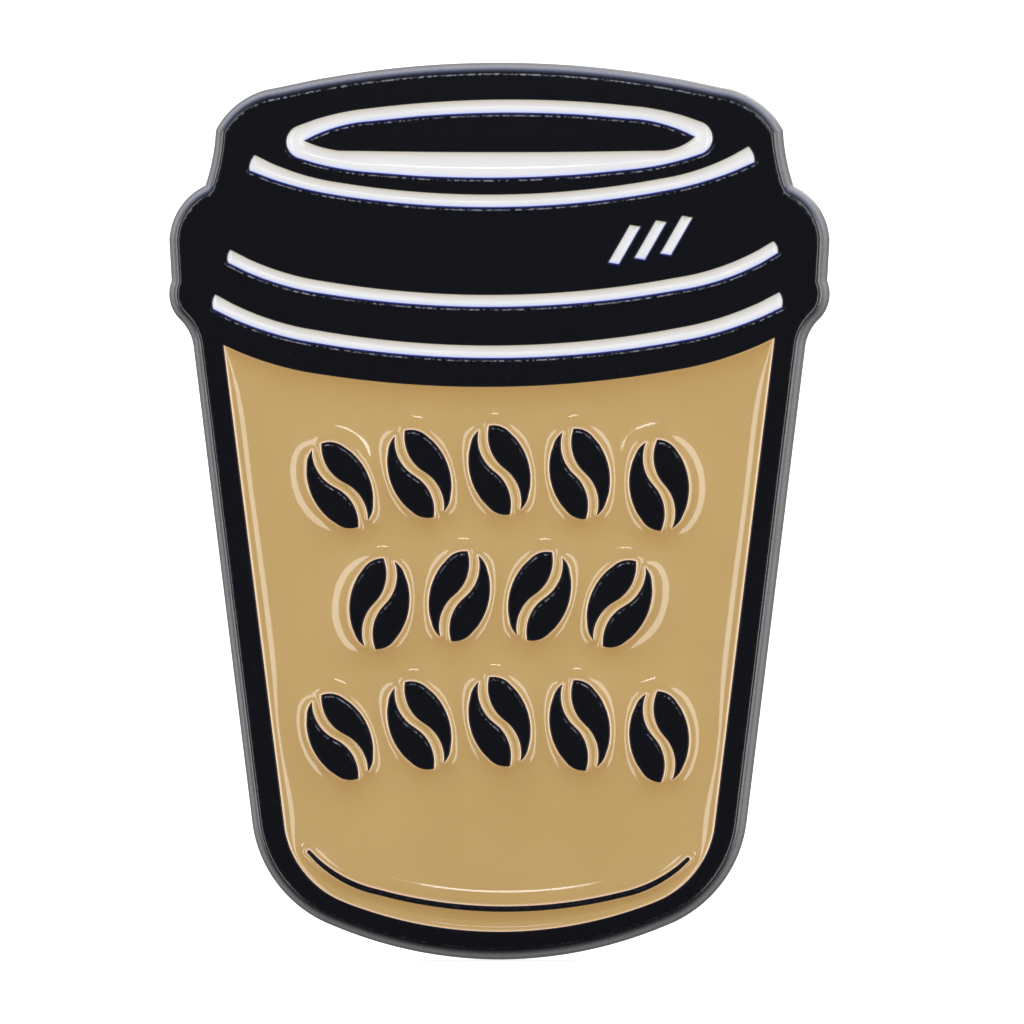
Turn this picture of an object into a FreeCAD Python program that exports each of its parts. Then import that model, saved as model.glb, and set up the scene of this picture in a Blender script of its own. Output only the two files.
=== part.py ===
import FreeCAD, Part
import math
import os

from FreeCAD import Placement, Rotation, Vector
from Sketcher import Constraint

# A soft-enamel badge shaped like a lidded takeaway cup, held to cloth by two posts and two
# butterfly clutches. Millimetres. The face looks along -Y, the posts stand along +Y, +Z is up.
# The origin lies on the plane of the back rim, midway between the two posts.

os.makedirs("parts", exist_ok=True)
doc = FreeCAD.newDocument("coffee_cup_pin")

# ---------------------------------------------------------------------------------------------
# Driving dimensions
# ---------------------------------------------------------------------------------------------

LENGTHS = {
    # struck plate
    "plate_thick": 1.60,
    "edge_round": 0.42,
    "rim_wide": 0.80,
    "rim_proud": 0.12,
    "recess_deep": 0.45,
    "enamel_low": 0.12,
    "end_bulge": 0.06,
    "ring_bulge": 0.38,
    # rows of raised beans
    "arch_radius": 30.0,
    "bean_half_long": 1.62,
    "bean_half_wide": 1.06,
    "crease_wide": 0.36,
    "crease_sway": 0.30,
    "crease_over": 0.15,
    "bean_pitch": 2.84,
    # dashes of the shine mark
    "dash_pitch": 0.92,
    "dash_rise": 0.16,
    # posts
    "post_spacing": 14.0,
    "post_long": 8.0,
    "post_radius": 0.55,
    "root_radius": 0.75,
    "root_top": 1.28,
    "flange_radius": 1.50,
    "flange_top": 0.18,
    "groove_radius": 0.40,
    "groove_low": 6.25,
    "groove_high": 6.75,
    "solder_radius": 2.20,
    # clutches
    "cloth_gap": 2.0,
    "sheet_thick": 0.30,
    "cover_thick": 0.25,
    "clutch_radius": 5.70,
    "funnel_hole": 0.70,
    "funnel_mouth": 1.75,
    "funnel_high": 0.70,
    "wall_top": 1.75,
    "cover_radius": 5.30,
    "cover_low": 1.20,
    "cover_high": 2.70,
    "cover_hole": 0.95,
    "slot_at": 1.95,
    "slot_wide": 0.80,
    "slot_long": 3.80,
    "jaw_low": 1.60,
    "jaw_play": 0.03,
    "jaw_half_wide": 1.20,
    "neck_half_wide": 1.55,
    "wing_half_wide": 3.60,
}

# Corners of the outlines, as (across, up). Names ending in "_on" are points an arc passes through.
POINTS = {
    # silhouette, right-hand side, from the crown of the lid down to the foot of the cup
    "crown_on": (0.00, 15.88),
    "crown_edge": (7.90, 14.99),
    "crown_side_on": (9.27, 14.42),
    "drum_top": (10.04, 13.50),
    "drum_on": (10.14, 12.62),
    "drum_foot": (10.41, 11.53),
    "shoulder_on": (11.32, 10.74),
    "shoulder": (11.69, 9.55),
    "waist": (11.61, 8.16),
    "bead_on": (11.69, 7.56),
    "bead_foot": (11.27, 6.74),
    "neck_on": (10.97, 6.30),
    "cup_mouth": (10.82, 5.72),
    "cup_heel": (8.76, -11.00),
    "heel_on": (8.13, -12.82),
    "cup_foot": (6.33, -14.49),
    "foot_on": (0.00, -15.88),
    # lower side of the black lens inside the white ring
    "lens_heel_on": (6.38, 12.89),
    "lens_heel": (5.60, 12.74),
    "lens_foot_on": (0.00, 12.69),
    # foot of the cup body's pool
    "pool_heel": (7.60, -11.20),
    "pool_heel_on": (7.03, -12.62),
    "pool_foot": (5.47, -13.84),
    "pool_foot_on": (0.00, -14.88),
    # lowest dash of the shine mark
    "dash_low_left": (3.86, 8.80),
    "dash_low_right": (4.22, 8.74),
    "dash_high_right": (4.98, 10.06),
    "dash_high_left": (4.62, 10.12),
}

# Edges that follow a flat ellipse: height at the middle, half-width and rise of the ellipse, the
# slope it is tipped by, and where the edge stops on the left and on the right.
CURVES = {
    # white ring on the lid, and the upper side of the black lens inside it
    "ring_top": (14.55, 7.55, -1.27, 0.0100, -7.15, 7.15),
    "ring_foot": (11.80, 7.60, 1.18, 0.0100, -7.15, 7.15),
    "lens_top": (14.10, 7.00, -1.08, 0.0100, -6.93, 6.93),
    # three white bands
    "upper_top": (11.19, 9.32, 2.38, 0.0115, -8.66, 8.81),
    "upper_foot": (10.76, 10.31, 2.88, 0.0115, -8.84, 9.02),
    "middle_top": (7.64, 10.20, 2.63, 0.0095, -9.52, 9.69),
    "middle_foot": (7.23, 10.29, 2.57, 0.0085, -9.59, 9.84),
    "lower_top": (5.85, 10.82, 3.01, 0.0090, -10.05, 9.90),
    "lower_foot": (5.42, 11.12, 3.08, 0.0070, -10.12, 9.98),
    # mouth of the cup body's pool, and the thin raised line near its foot
    "pool_top": (4.39, 10.71, 2.75, 0.0140, -9.76, 9.73),
    "line_top": (-13.98, 6.94, 2.57, -0.0115, -6.70, 6.62),
    "line_foot": (-14.18, 6.95, 2.53, -0.0115, -6.80, 6.74),
}
CURVE_PARTS = ("mid", "half", "rise", "tip", "left", "right")

sheet = doc.addObject("Spreadsheet::Sheet", "Sizes")


def fill_sheet():
    """Write every driving dimension into the sheet, under its own name."""
    cells = list(LENGTHS.items())
    for name, (across, up) in POINTS.items():
        cells.append((name + "_x", across))
        cells.append((name + "_z", up))
    for name, numbers in CURVES.items():
        cells += [(f"{name}_{part}", number) for part, number in zip(CURVE_PARTS, numbers)]
    for row, (name, number) in enumerate(cells, start=1):
        sheet.set(f"A{row}", name)
        sheet.set(f"B{row}", str(number))
        sheet.setAlias(f"B{row}", name)
    doc.recompute()


fill_sheet()

# ---------------------------------------------------------------------------------------------
# Sketch helpers
# ---------------------------------------------------------------------------------------------


def bound(text):
    """An expression in sheet names, with the names tied to the sheet."""
    words = text.replace("(", " ( ").replace(")", " ) ").split()
    names = sheet_names()
    text = " ".join(f"Sizes.{word}" if word in names else word for word in words)
    return text.replace("sqrt (", "sqrt(")


def sheet_names():
    """Every name the sheet holds."""
    ends = [name + axis for name in POINTS for axis in ("_x", "_z")]
    parts = [f"{name}_{part}" for name in CURVES for part in CURVE_PARTS]
    return set(LENGTHS) | set(ends) | set(parts)


def value(text):
    """The number an expression in sheet names gives."""
    return float(sheet.evalExpression(bound(text)))


def corner(name, side=1):
    """A named corner; side -1 is its mirror image."""
    return (f"{side} * {name}_x", f"{name}_z", name.endswith("_on"))


def on_curve(name, across, bend=False):
    """A stop on a named edge, at an across expression."""
    bow = f"{name}_rise * ( 1 - sqrt ( 1 - ( {across} / {name}_half ) ^ 2 ) )"
    return (across, f"{name}_mid + {bow} + {name}_tip * {across}", bend)


def edge(name):
    """Three arcs along a named edge, from its left end to its right end."""
    left = [("left", 1, False), ("left", 0.86, True), ("left", 0.64, False), ("left", 0, True)]
    right = [("right", 0.64, False), ("right", 0.86, True), ("right", 1, False)]
    return [on_curve(name, f"{share} * {name}_{end}", on) for end, share, on in left + right]


def cap(name, end, bulge):
    """The stop that rounds one end between a top edge and a foot edge."""
    top = on_curve(f"{name}_top", f"{name}_top_{end}")
    foot = on_curve(f"{name}_foot", f"{name}_foot_{end}")
    return (f"( {top[0]} + {foot[0]} ) / 2 + {bulge}", f"( {top[1]} + {foot[1]} ) / 2", True)


def arc_through(start, middle, end):
    """The arc through three points, and which of its two ends (1 or 2) is the start."""
    circle = Part.Circle(start, middle, end)
    centre = circle.Center
    angles = [math.atan2(p.y - centre.y, p.x - centre.x) for p in (start, middle, end)]
    first, over, last = angles
    turn = 2 * math.pi
    forward = (over - first) % turn < (last - first) % turn
    if not forward:
        first, last = last, first
    if last <= first:
        last += turn
    flat = Part.Circle(centre, Vector(0, 0, 1), circle.Radius)
    return Part.ArcOfCircle(flat, first, last), 1 if forward else 2


class Profile:
    """A sketch on a base plane of a body, with its points tied to the sheet."""

    def __init__(self, body, name, plane="XZ_Plane", height="0"):
        self.body = body
        self.sketch = body.newObject("Sketcher::SketchObject", name)
        base = next(item for item in body.Origin.OriginFeatures if item.Role == plane)
        self.sketch.AttachmentSupport = (base, [""])
        self.sketch.MapMode = "FlatFace"
        self.sketch.setExpression("AttachmentOffset.Base.z", bound(height))

    def fix(self, index, end, across, up):
        """Tie one point of a sketch element to two sheet expressions."""
        for kind, text in (("DistanceX", across), ("DistanceY", up)):
            rule = self.sketch.addConstraint(Constraint(kind, -1, 1, index, end, value(text)))
            self.sketch.setExpression(f"Constraints[{rule}]", bound(text))

    def loop(self, stops):
        """A closed loop through corners; an "on" stop bends the side before the next corner."""
        corners = [stop for stop in stops if not stop[2]]
        bends = {}
        for before, stop in zip(stops, stops[1:]):
            if stop[2]:
                bends[corners.index(before)] = stop
        places = [Vector(value(across), value(up), 0) for across, up, _ in corners]
        sides = []
        for number, start in enumerate(places):
            end = places[(number + 1) % len(places)]
            side, begin = Part.LineSegment(start, end), 1
            if number in bends:
                middle = Vector(value(bends[number][0]), value(bends[number][1]), 0)
                side, begin = arc_through(start, middle, end)
            sides.append((self.sketch.addGeometry(side), begin))
        for number, (across, up, _) in enumerate(corners):
            index, begin = sides[number]
            before, before_begin = sides[number - 1]
            join = Constraint("Coincident", before, 3 - before_begin, index, begin)
            self.sketch.addConstraint(join)
            self.fix(index, begin, across, up)
        for number, (across, up, _) in bends.items():
            dot = self.sketch.addGeometry(Part.Point(Vector(value(across), value(up), 0)), True)
            self.fix(dot, 1, across, up)
            self.sketch.addConstraint(Constraint("PointOnObject", dot, 1, sides[number][0]))

    def circle(self, across, up, radius):
        """A circle tied to the sheet by its centre and radius."""
        centre = Vector(value(across), value(up), 0)
        ring = Part.Circle(centre, Vector(0, 0, 1), value(radius))
        index = self.sketch.addGeometry(ring)
        self.fix(index, 3, across, up)
        rule = self.sketch.addConstraint(Constraint("Radius", index, value(radius)))
        self.sketch.setExpression(f"Constraints[{rule}]", bound(radius))

    def feature(self, kind, length, **settings):
        """Pad or Pocket this sketch by a sheet expression."""
        made = self.body.newObject(f"PartDesign::{kind}", f"{kind}_{self.sketch.Name}")
        made.Profile = self.sketch
        made.setExpression("Length", bound(length))
        for name, setting in settings.items():
            setattr(made, name, setting)
        self.sketch.Visibility = False
        doc.recompute()
        return made

    def revolve(self):
        """Turn this sketch once round its upright axis."""
        made = self.body.newObject("PartDesign::Revolution", f"Turn_{self.sketch.Name}")
        made.Profile = self.sketch
        made.ReferenceAxis = (self.sketch, ["V_Axis"])
        made.Angle = 360
        self.sketch.Visibility = False
        doc.recompute()
        return made


def new_body(label, y="0", z="0", turn=0):
    """A body with its own place: y and z are sheet expressions, turn is about Y in degrees."""
    body = doc.addObject("PartDesign::Body", label)
    body.Label = label
    body.Placement = Placement(Vector(0, 0, 0), Rotation(Vector(0, 1, 0), turn))
    body.setExpression("Placement.Base.y", bound(y))
    body.setExpression("Placement.Base.z", bound(z))
    doc.recompute()
    return body


# ---------------------------------------------------------------------------------------------
# The face: silhouette, pools and raised ornaments
# ---------------------------------------------------------------------------------------------

SILHOUETTE = [
    "crown_edge", "crown_side_on", "drum_top", "drum_on", "drum_foot", "shoulder_on",
    "shoulder", "waist", "bead_on", "bead_foot", "neck_on", "cup_mouth", "cup_heel",
    "heel_on", "cup_foot",
]

FLOOR = "plate_thick - recess_deep"
LAND = "plate_thick"
FILL = "recess_deep - enamel_low"


def silhouette(profile):
    """Both halves of the outline, closed over the crown and under the foot."""
    right = [corner(name) for name in SILHOUETTE]
    left = [corner(name, -1) for name in reversed(SILHOUETTE)]
    profile.loop(right + [corner("foot_on")] + left + [corner("crown_on")])


def band(profile, name, bulge="end_bulge"):
    """Pool between a top edge and a foot edge, with rounded ends."""
    foot, top = edge(f"{name}_foot"), edge(f"{name}_top")
    profile.loop(
        foot + [cap(name, "right", bulge)] + top[::-1] + [cap(name, "left", f"( 0 - {bulge} )")]
    )


def ring(profile):
    """Oval pool with a pointed black lens standing in it."""
    band(profile, "ring", "ring_bulge")
    foot = [corner("lens_heel_on", -1), corner("lens_heel", -1), corner("lens_foot_on")]
    profile.loop(edge("lens_top")[::-1] + foot + [corner("lens_heel"), corner("lens_heel_on")])


def cup_pool(profile):
    """Cup body, with the thin raised line left standing near its foot."""
    profile.loop(edge("pool_top") + [
        corner("pool_heel"), corner("pool_heel_on"), corner("pool_foot"), corner("pool_foot_on"),
        corner("pool_foot", -1), corner("pool_heel_on", -1), corner("pool_heel", -1),
    ])
    band(profile, "line")


def dash(profile, number):
    """One slanted dash of the shine mark; number counts along the row."""
    names = ("dash_low_left", "dash_low_right", "dash_high_right", "dash_high_left")
    profile.loop([
        (f"{name}_x + {number} * dash_pitch", f"{name}_z + {number} * dash_rise", False)
        for name in names
    ])


POOLS = {
    "cup_enamel": cup_pool,
    "lid_ring_enamel": ring,
    "upper_band_enamel": lambda profile: band(profile, "upper"),
    "middle_band_enamel": lambda profile: band(profile, "middle"),
    "lower_band_enamel": lambda profile: band(profile, "lower"),
    "left_dash_enamel": lambda profile: dash(profile, 0),
    "middle_dash_enamel": lambda profile: dash(profile, 1),
    "right_dash_enamel": lambda profile: dash(profile, 2),
}

# Rows of beans on shallow arches: height of the middle of the row, beans in it, lean in degrees.
ROWS = {
    "top_row": (1.45, 5, 16),
    "mid_row": (-2.98, 4, -16),
    "low_row": (-7.45, 5, 16),
}


def bean_row(body, name, part, height, kind, length):
    """One row of bean bodies or bean creases, cut from or raised on a body.

    The sketch is drawn about the centre of the row's arch, turned so that its first bean
    stands upright in the sketch, and the row is a polar pattern about that centre.
    """
    middle, count, lean = ROWS[name]
    swing = f"bean_pitch / arch_radius * 90 / {math.pi / 2}"
    profile = Profile(body, f"{name}_{part}_{body.Name}", height=height)
    sketch = profile.sketch
    sketch.setExpression("AttachmentOffset.Base.y", bound(f"{middle} - arch_radius"))
    half_swing = value(swing) * (count - 1) / 2
    sketch.AttachmentOffset = Placement(
        sketch.AttachmentOffset.Base, Rotation(Vector(0, 0, 1), lean - half_swing)
    )
    across = f"arch_radius * {math.sin(math.radians(lean)):.6f}"
    up = f"arch_radius * {math.cos(math.radians(lean)):.6f}"
    if part == "bean":
        bean_oval(profile, across, up)
    else:
        bean_crease(profile, across, up, math.copysign(1, lean))
    first = profile.feature(kind, length)
    row = body.newObject("PartDesign::PolarPattern", f"Row_{sketch.Name}")
    row.Originals = [first]
    row.Axis = (sketch, ["N_Axis"])
    row.Mode = "Spacing"
    row.Offset = value(swing)
    row.Occurrences = count
    body.Tip = row
    doc.recompute()


def bean_oval(profile, across, up):
    """Oval of four arcs, longer upright."""
    def stop(wide, long, on):
        return (f"{across} + {wide} * bean_half_wide", f"{up} + {long} * bean_half_long", on)

    diagonal = 0.74
    bulge = 0.6726
    corners = [(1, 1), (-1, 1), (-1, -1), (1, -1)]
    between = [(0, 1), (-1, 0), (0, -1), (1, 0)]
    stops = []
    for (wide, long), (on_wide, on_long) in zip(corners, between):
        stops.append(stop(wide * bulge, long * diagonal, False))
        stops.append(stop(on_wide, on_long, True))
    profile.loop(stops)


def bean_crease(profile, across, up, way):
    """S-shaped strip from past one end of the bean to past the other."""
    def stop(side, long, sway):
        wide = f"{side} * crease_wide / 2 + {sway * way} * crease_sway"
        high = f"{long} * ( bean_half_long + crease_over )"
        return (f"{across} + {wide}", f"{up} + {high}", sway != 0)

    edge = [(1, 0), (0.5, -1), (0, 0), (-0.5, 1), (-1, 0)]
    down = [stop(-1, long, sway) for long, sway in edge]
    back = [stop(1, long, sway) for long, sway in reversed(edge)]
    profile.loop(down + back)


# ---------------------------------------------------------------------------------------------
# Struck plate and its enamel fills
# ---------------------------------------------------------------------------------------------


def badge_plate():
    """Die-struck plate: rounded front edge, pools cut in the face, shallow field in the back."""
    body = new_body("badge_plate")
    outline = Profile(body, "Silhouette")
    silhouette(outline)
    blank = outline.feature("Pad", "plate_thick")
    front = [
        f"Edge{number}"
        for number, edge in enumerate(blank.Shape.Edges, start=1)
        if edge.BoundBox.YMax < -0.99 * LENGTHS["plate_thick"]
    ]
    rounded = body.newObject("PartDesign::Fillet", "Struck_edge")
    rounded.Base = (blank, front)
    rounded.setExpression("Radius", bound("edge_round"))
    doc.recompute()
    field = body.newObject("PartDesign::SubShapeBinder", "Back_field")
    field.Support = [(outline.sketch, "")]
    field.setExpression("Offset", "-" + bound("rim_wide"))
    hollow = body.newObject("PartDesign::Pocket", "Back_hollow")
    hollow.Profile = field
    hollow.setExpression("Length", bound("rim_proud"))
    doc.recompute()
    for label, draw in POOLS.items():
        profile = Profile(body, f"Recess_{label}", height=LAND)
        draw(profile)
        profile.feature("Pocket", "recess_deep")
    for name in ROWS:
        bean_row(body, name, "bean", FLOOR, "Pad", "recess_deep")
        bean_row(body, name, "crease", LAND, "Pocket", "recess_deep")
    return body


def enamel(label, draw):
    """Enamel baked into one pool, its top a little below the raised metal."""
    body = new_body(label)
    profile = Profile(body, f"Fill_{label}", height=FLOOR)
    draw(profile)
    profile.feature("Pad", FILL)
    if label == "cup_enamel":
        for name in ROWS:
            bean_row(body, name, "bean", LAND, "Pocket", "recess_deep")
            bean_row(body, name, "crease", FLOOR, "Pad", FILL)
    return body


# ---------------------------------------------------------------------------------------------
# Posts and clutches
# ---------------------------------------------------------------------------------------------


def stops(pairs):
    """Loop stops from (across, up) or (across, up, "on") expressions."""
    return [(pair[0], pair[1], len(pair) == 3) for pair in pairs]


def post(label, z):
    """Pointed post with a flat flange, a thick root and one groove near the tip."""
    body = new_body(label, z=z)
    section = Profile(body, f"Section_{label}", plane="XY_Plane")
    section.loop(stops([
        ("0", "0 - rim_proud"),
        ("flange_radius", "0 - rim_proud"),
        ("flange_radius", "flange_top"),
        ("root_radius", "flange_top"),
        ("root_radius", "root_top"),
        ("post_radius", "root_top + root_radius - post_radius"),
        ("post_radius", "groove_low"),
        ("groove_radius", "groove_low + 0.08"),
        ("groove_radius", "groove_high - 0.08"),
        ("post_radius", "groove_high"),
        ("post_radius", "post_long - 1.0"),
        ("0.30", "post_long - 0.32", "on"),
        ("0.05", "post_long"),
        ("0", "post_long"),
    ]))
    section.revolve()
    return body


def solder(label, z):
    """Ring of solder drawn up the edge of a post's flange."""
    body = new_body(label, z=z)
    section = Profile(body, f"Section_{label}", plane="XY_Plane")
    section.loop(stops([
        ("flange_radius", "0 - rim_proud"),
        ("solder_radius", "0 - rim_proud"),
        ("flange_radius + 0.20", "0 - rim_proud + 0.09", "on"),
        ("flange_radius", "flange_top - 0.05"),
    ]))
    section.revolve()
    return body


def dish(label, z):
    """Pressed dish with a funnel round the post and a rim rolled in over the cover."""
    body = new_body(label, y="cloth_gap", z=z)
    section = Profile(body, f"Section_{label}", plane="XY_Plane")
    inner = "clutch_radius - sheet_thick"
    section.loop(stops([
        ("funnel_hole", "funnel_high"),
        ("funnel_mouth", "0"),
        ("clutch_radius - 0.75", "0"),
        ("clutch_radius - 0.20", "0.20", "on"),
        ("clutch_radius", "0.72"),
        ("clutch_radius", "wall_top - 0.40"),
        ("clutch_radius - 0.12", "wall_top - 0.12", "on"),
        ("clutch_radius - 0.40", "wall_top"),
        ("clutch_radius - 0.95", "wall_top"),
        ("clutch_radius - 0.95", "wall_top - 0.25"),
        (f"{inner} - 0.15", "wall_top - 0.25"),
        (inner, "wall_top - 0.40"),
        (inner, "0.76"),
        (f"{inner} - 0.14", "0.42", "on"),
        (f"{inner} - 0.50", "sheet_thick"),
        ("funnel_mouth + 0.15", "sheet_thick"),
        ("funnel_hole + 0.22", "funnel_high + 0.23"),
        ("funnel_hole", "funnel_high + 0.23"),
    ]))
    section.revolve()
    return body


def cover(label, z):
    """Domed cover held loosely under the rolled rim, with a post hole and two wing slots."""
    body = new_body(label, y="cloth_gap", z=z)
    section = Profile(body, f"Section_{label}", plane="XY_Plane")
    section.loop(stops([
        ("cover_radius", "cover_low"),
        ("cover_radius", "cover_low + cover_thick"),
        ("cover_radius - 1.10", "cover_low + cover_thick"),
        ("cover_radius - 1.70", "cover_high"),
        ("cover_hole", "cover_high"),
        ("cover_hole", "cover_high - cover_thick"),
        ("cover_radius - 1.88", "cover_high - cover_thick"),
        ("cover_radius - 1.28", "cover_low"),
    ]))
    section.revolve()
    slots = Profile(body, f"Slots_{label}", height="0 - cover_high - 0.1")
    for side in (1, -1):
        near = f"{side} * slot_at - slot_wide / 2"
        far = f"{side} * slot_at + slot_wide / 2"
        slots.loop(stops([
            (near, "0 - slot_long / 2"),
            (far, "0 - slot_long / 2"),
            (far, "slot_long / 2"),
            (near, "slot_long / 2"),
        ]))
    slots.feature("Pocket", "cover_thick + 0.3", Reversed=True)
    return body


def wing(label, z, turn):
    """Bent strip: a jaw that grips the post, a neck through the cover, and a finger wing."""
    body = new_body(label, y="cloth_gap", z=z, turn=turn)
    section = Profile(body, f"Section_{label}", plane="XY_Plane")
    jaw_top = "jaw_low + sheet_thick"
    inside = "slot_at - sheet_thick / 2"
    outside = "slot_at + sheet_thick / 2"
    section.loop(stops([
        ("0.22", "jaw_low"),
        (f"{inside} - 0.15", "jaw_low"),
        (f"{outside} - 0.13", "jaw_low + 0.13", "on"),
        (outside, "jaw_low + 0.45"),
        (outside, "cover_high + 0.35"),
        (f"{outside} + 0.16", "cover_high + 1.65", "on"),
        (f"{outside} + 0.98", "cover_high + 2.95"),
        (f"{outside} + 0.74", "cover_high + 3.12"),
        (f"{inside} + 0.17", "cover_high + 1.72", "on"),
        (inside, "cover_high + 0.35"),
        (inside, "jaw_low + 0.45"),
        (f"{inside} - 0.04", f"{jaw_top} + 0.04", "on"),
        (f"{inside} - 0.15", jaw_top),
        ("0.22", jaw_top),
    ]))
    section.feature("Pad", "2 * wing_half_wide", Midplane=True)
    bite = Profile(body, f"Bite_{label}", height="0 - jaw_low - 0.6")
    bite.circle("0", "0", "post_radius + jaw_play")
    bite.feature("Pocket", "0.9", Reversed=True)
    trim = Profile(body, f"Trim_{label}", plane="YZ_Plane")
    for side in (1, -1):
        beyond = f"{side} * ( wing_half_wide + 0.5 )"
        trim.loop(stops([
            ("jaw_low - 0.3", f"{side} * jaw_half_wide"),
            ("jaw_low + 0.35", f"{side} * jaw_half_wide"),
            ("jaw_low + 0.50", f"{side} * neck_half_wide"),
            ("cover_high + 0.25", f"{side} * neck_half_wide"),
            ("cover_high + 0.72", f"{side} * ( neck_half_wide + 0.60 )", "on"),
            ("cover_high + 1.05", f"{side} * wing_half_wide"),
            ("cover_high + 1.05", beyond),
            ("jaw_low - 0.3", beyond),
        ]))
        trim.loop(stops([
            ("cover_high + 2.30", f"{side} * wing_half_wide"),
            ("cover_high + 2.86", f"{side} * ( wing_half_wide - 0.35 )", "on"),
            ("cover_high + 3.22", f"{side} * ( wing_half_wide - 1.30 )"),
            ("cover_high + 3.40", f"{side} * ( wing_half_wide - 1.30 )"),
            ("cover_high + 3.40", beyond),
            ("cover_high + 2.30", beyond),
        ]))
    trim.feature("Pocket", "8", Midplane=True)
    return body


# ---------------------------------------------------------------------------------------------
# Assembly and files
# ---------------------------------------------------------------------------------------------

bodies = [badge_plate()]
for label, draw in POOLS.items():
    bodies.append(enamel(label, draw))
for end, z in (("upper", "post_spacing / 2"), ("lower", "0 - post_spacing / 2")):
    bodies.append(post(f"{end}_post", z))
    bodies.append(solder(f"{end}_post_solder", z))
    bodies.append(dish(f"{end}_clutch_dish", z))
    bodies.append(cover(f"{end}_clutch_cover", z))
    bodies.append(wing(f"{end}_wing_right", z, 0))
    bodies.append(wing(f"{end}_wing_left", z, 180))

doc.recompute()
for item in doc.Objects:
    if "Invalid" in item.State or "Error" in item.State:
        raise RuntimeError(f"{item.Label} did not compute: {item.State}")
for body in bodies:
    if body.Shape.isNull() or not body.Shape.isValid():
        raise RuntimeError(f"{body.Label} has no valid shape")
    if len(body.Shape.Solids) != 1:
        raise RuntimeError(f"{body.Label} has {len(body.Shape.Solids)} solids")
    body.Shape.exportStep(f"parts/{body.Label}.step")
    print(f"{body.Label}: {body.Shape.Volume:.4f} mm3")
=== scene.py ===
import math

import bmesh
import bpy
import numpy as np
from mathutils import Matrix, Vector, kdtree
from mathutils.geometry import delaunay_2d_cdt


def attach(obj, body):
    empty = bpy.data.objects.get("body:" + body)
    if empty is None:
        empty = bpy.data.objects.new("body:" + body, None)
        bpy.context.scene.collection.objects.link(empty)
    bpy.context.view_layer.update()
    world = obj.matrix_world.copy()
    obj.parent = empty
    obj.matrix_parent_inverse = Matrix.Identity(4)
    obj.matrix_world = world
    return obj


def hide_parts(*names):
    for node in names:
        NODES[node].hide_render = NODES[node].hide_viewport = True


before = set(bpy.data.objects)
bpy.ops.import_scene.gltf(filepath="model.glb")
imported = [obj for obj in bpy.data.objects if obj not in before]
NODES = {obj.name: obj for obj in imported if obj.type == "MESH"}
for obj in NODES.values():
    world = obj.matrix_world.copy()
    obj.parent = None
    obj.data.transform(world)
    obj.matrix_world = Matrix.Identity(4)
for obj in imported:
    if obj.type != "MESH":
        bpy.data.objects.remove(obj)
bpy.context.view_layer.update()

# Looks of the enamel pin. Outlines are read off the CAD nodes, in millimetres as (across, up),
# and turned into dense meshes: rounded struck metal, and enamel that climbs every wall.

MM = 0.001
COARSE = 1.0

# Lengths in millimetres; a depth is measured from the back rim, towards the viewer.
LAND = 1.60       # depth of the raised metal's top
FLOOR = 1.15      # depth of the pools' floor
ENAMEL = 1.455    # depth of the enamel's level surface
FILL_LOW = 0.12   # top of the CAD enamel below the lands
UNDER = 0.01      # gap left under the enamel
BEVEL = 0.412     # rounding of the struck edge
LIP = 0.045       # rounding of the pools' edges
CLIMB = 0.022     # the last, steepest rise of the enamel at a wall
CLIMB_REACH = 0.07
BACK_ROUND = 0.10             # rounding of the back edge
BACK_RIM = 0.76               # flat rim round the back, up to its slope
BACK_SLOPE = 0.14             # width of the slope from the rim to the field
BACK_FIELD = 0.12             # how far the field is sunk
OUTLINE_STEP = 0.085          # spacing of points along outlines
FINE_STEP = 0.04              # the same where distances are measured
SNAP = 0.004                  # a distance below this counts as being on the outline
CLEAR = 0.93                  # share of its ring's distance that a spot keeps from every edge
LONG = 2.2                    # a cut so many times its neighbours' length is a straight line


# ------------------------------------------------------------------------------------------
# Outlines
# ------------------------------------------------------------------------------------------


def flat_loops(node, level):
    """Closed (x, z) loops round the faces of a CAD node that lie in the plane y = level."""
    mesh = NODES[node].data
    points = [v.co / MM for v in mesh.vertices]
    edges = set()
    for face in mesh.polygons:
        if any(abs(points[i].y - level) > 2e-3 for i in face.vertices):
            continue
        ring = [(round(points[i].x, 4), round(points[i].z, 4)) for i in face.vertices]
        for a, b in zip(ring, ring[1:] + ring[:1]):
            if a == b:
                continue
            if (b, a) in edges:
                edges.remove((b, a))
            else:
                edges.add((a, b))
    follow = {}
    for a, b in sorted(edges):
        follow.setdefault(a, []).append(b)
    loops = []
    while follow:
        start = min(follow)
        loop, here = [], start
        while True:
            loop.append(here)
            after = follow[here].pop()
            if not follow[here]:
                del follow[here]
            here = after
            if here == start:
                break
        loops.append(np.array(loop))
    loops.sort(key=lambda loop: -abs(area(loop)))
    if area(loops[0]) < 0:
        loops = [loop[::-1] for loop in loops]
    return loops


def area(loop):
    """Signed area of a closed loop, positive when it runs anticlockwise."""
    x, y = loop[:, 0], loop[:, 1]
    return 0.5 * float(np.sum(x * np.roll(y, -1) - np.roll(x, -1) * y))


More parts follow.
